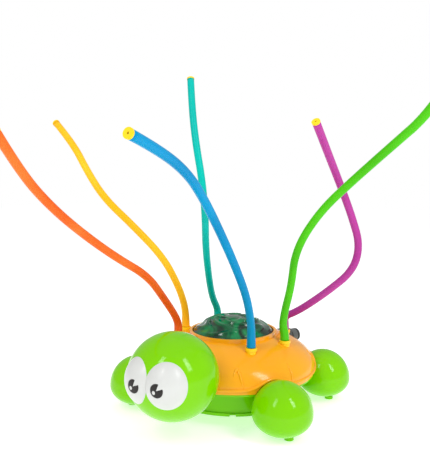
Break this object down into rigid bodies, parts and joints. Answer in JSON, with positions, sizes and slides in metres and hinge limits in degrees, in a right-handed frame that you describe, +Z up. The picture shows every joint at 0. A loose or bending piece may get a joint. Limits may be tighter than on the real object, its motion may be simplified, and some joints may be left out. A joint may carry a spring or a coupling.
{
  "type": "garden sprinkler",
  "caption": "Turtle-shaped garden water sprinkler with flexible colored tubes around a clear dome that spins on a spindle.",
  "frame": {"origin": "on the ground under the middle of the body's box, tubes left out", "axes": "+Z up, -Y out of the face, +X out of the turtle's left flank"},
  "size_m": [0.4382, 0.3557, 0.3653],
  "materials": {
    "shell_orange": "glossy",
    "body_green": "glossy",
    "dome_green": "clear, dark green",
    "eye_white": "glossy",
    "pupil_black": "printed",
    "fitting_yellow": "satin",
    "inlet_grey": "satin",
    "inner_white": "satin",
    "seal_black": "matt",
    "screw_steel": "plain",
    "hose_clear": "soft",
    "foot_pad_green": "glossy",
    "tube_blue": "soft, glossy",
    "tube_green": "soft, glossy",
    "tube_purple": "soft, glossy",
    "tube_teal": "soft, glossy",
    "tube_yellow": "soft, glossy",
    "tube_orange": "soft, glossy"
  },
  "bodies": {
    "base": {"shell": "shell_orange", "belly_pan": "body_green", "front_foot_left": "body_green", "front_foot_right": "body_green", "rear_foot_left": "body_green", "rear_foot_right": "body_green", "foot_pads": "foot_pad_green", "head_front": "body_green", "head_back": "body_green", "neck_nut": "inner_white", "eye_left": "eye_white", "eye_right": "eye_white", "pupil_left": "pupil_black", "pupil_right": "pupil_black", "manifold_body": "inner_white", "manifold_gasket": "seal_black", "manifold_lid": "inner_white", "manifold_screws": "screw_steel", "foot_screws": "screw_steel", "body_screws": "screw_steel", "inlet_spigot": "inlet_grey", "inlet_o_ring": "seal_black", "inlet_screen": "inlet_grey", "feed_hose": "hose_clear", "spindle": "screw_steel", "thrust_washer": "inner_white", "spindle_cap": "screw_steel", "nipple_blue": "fitting_yellow", "nipple_green": "fitting_yellow", "nipple_purple": "fitting_yellow", "nipple_teal": "fitting_yellow", "nipple_yellow": "fitting_yellow", "nipple_orange": "fitting_yellow"},
    "dome": {"dome_cover": "dome_green", "dome_bush": "inner_white", "impeller": "dome_green"},
    "blue_root": {"root_blue": "tube_blue"},
    "blue_tube": {"tube_blue": "tube_blue", "nozzle_blue": "fitting_yellow"},
    "green_root": {"root_green": "tube_green"},
    "green_tube": {"tube_green": "tube_green", "nozzle_green": "fitting_yellow"},
    "purple_root": {"root_purple": "tube_purple"},
    "purple_tube": {"tube_purple": "tube_purple", "nozzle_purple": "fitting_yellow"},
    "teal_root": {"root_teal": "tube_teal"},
    "teal_tube": {"tube_teal": "tube_teal", "nozzle_teal": "fitting_yellow"},
    "yellow_root": {"root_yellow": "tube_yellow"},
    "yellow_tube": {"tube_yellow": "tube_yellow", "nozzle_yellow": "fitting_yellow"},
    "orange_root": {"root_orange": "tube_orange"},
    "orange_tube": {"tube_orange": "tube_orange", "nozzle_orange": "fitting_yellow"}
  },
  "joints": [
    {"name": "dome_spin", "type": "hinge", "parent": "base", "child": "dome", "pos_m": [0, 0.037, 0.0834], "axis": [0, 0, 1], "continuous": true},
    {"name": "turn_blue", "type": "hinge", "parent": "base", "child": "blue_root", "pos_m": [0.04384, -0.00684, 0.0797], "axis": [0, 0, 1], "range_deg": [-10, 10], "stiffness_Nm_per_rad": 0.08},
    {"name": "sway_blue", "type": "hinge", "parent": "blue_root", "child": "blue_tube", "pos_m": [0.04384, -0.00684, 0.085], "axis": [0.7071, 0.7071, 0], "range_deg": [-8, 8], "stiffness_Nm_per_rad": 0.6},
    {"name": "turn_green", "type": "hinge", "parent": "base", "child": "green_root", "pos_m": [0.062, 0.037, 0.0797], "axis": [0, 0, 1], "range_deg": [-10, 10], "stiffness_Nm_per_rad": 0.08},
    {"name": "sway_green", "type": "hinge", "parent": "green_root", "child": "green_tube", "pos_m": [0.062, 0.037, 0.085], "axis": [0, 1, 0], "range_deg": [-8, 8], "stiffness_Nm_per_rad": 0.6},
    {"name": "turn_purple", "type": "hinge", "parent": "base", "child": "purple_root", "pos_m": [0.04384, 0.08084, 0.0797], "axis": [0, 0, 1], "range_deg": [-10, 10], "stiffness_Nm_per_rad": 0.08},
    {"name": "sway_purple", "type": "hinge", "parent": "purple_root", "child": "purple_tube", "pos_m": [0.04384, 0.08084, 0.085], "axis": [-0.7071, 0.7071, 0], "range_deg": [-8, 8], "stiffness_Nm_per_rad": 0.6},
    {"name": "turn_teal", "type": "hinge", "parent": "base", "child": "teal_root", "pos_m": [-0.04384, 0.08084, 0.0797], "axis": [0, 0, 1], "range_deg": [-10, 10], "stiffness_Nm_per_rad": 0.08},
    {"name": "sway_teal", "type": "hinge", "parent": "teal_root", "child": "teal_tube", "pos_m": [-0.04384, 0.08084, 0.085], "axis": [-0.7071, -0.7071, 0], "range_deg": [-8, 8], "stiffness_Nm_per_rad": 0.6},
    {"name": "turn_yellow", "type": "hinge", "parent": "base", "child": "yellow_root", "pos_m": [-0.062, 0.037, 0.0797], "axis": [0, 0, 1], "range_deg": [-10, 10], "stiffness_Nm_per_rad": 0.08},
    {"name": "sway_yellow", "type": "hinge", "parent": "yellow_root", "child": "yellow_tube", "pos_m": [-0.062, 0.037, 0.085], "axis": [0, -1, 0], "range_deg": [-8, 8], "stiffness_Nm_per_rad": 0.6},
    {"name": "turn_orange", "type": "hinge", "parent": "base", "child": "orange_root", "pos_m": [-0.04384, -0.00684, 0.0797], "axis": [0, 0, 1], "range_deg": [-10, 10], "stiffness_Nm_per_rad": 0.08},
    {"name": "sway_orange", "type": "hinge", "parent": "orange_root", "child": "orange_tube", "pos_m": [-0.04384, -0.00684, 0.085], "axis": [0.7071, -0.7071, 0], "range_deg": [-8, 8], "stiffness_Nm_per_rad": 0.6}
  ]
}
